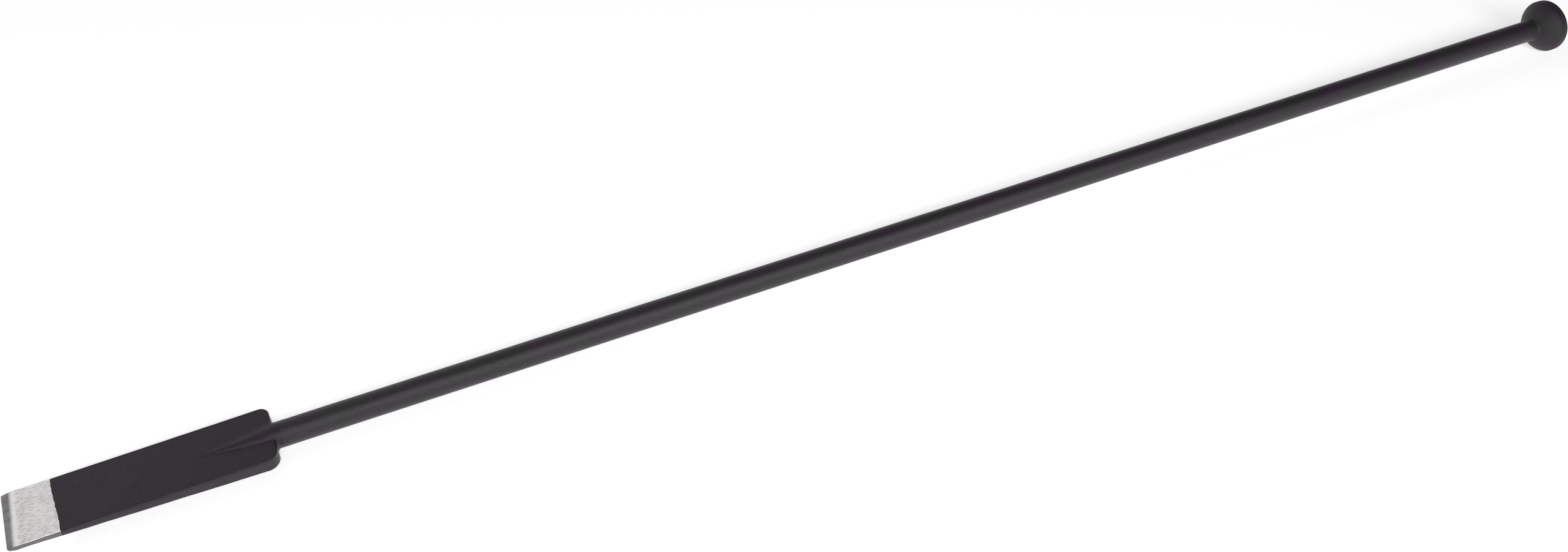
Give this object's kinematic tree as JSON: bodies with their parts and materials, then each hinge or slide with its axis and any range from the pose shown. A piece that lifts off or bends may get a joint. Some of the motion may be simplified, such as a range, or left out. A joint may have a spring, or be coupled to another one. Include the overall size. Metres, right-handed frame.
{
  "type": "flat chisel bar",
  "caption": "Long round steel bar with a wide flat chisel blade, a bare ground cutting edge and a round knob on the rear end.",
  "frame": {"origin": "middle of the cutting edge, on the bar's axis", "axes": "+X along the bar from the cutting edge to the knob, +Y across the blade, +Z square to the blade's faces"},
  "size_m": [1.75, 0.063, 0.06],
  "materials": {
    "ground_steel": "bare steel, ground lengthwise on the faces, finer on the bevels",
    "black_paint": "semi-matt black coating with a fine grain"
  },
  "bodies": {
    "root": {"cutting_bit": "ground_steel", "blade_head": "black_paint", "neck_weld": "black_paint", "shaft": "black_paint", "knob_weld": "black_paint", "knob": "black_paint"}
  },
  "joints": []
}
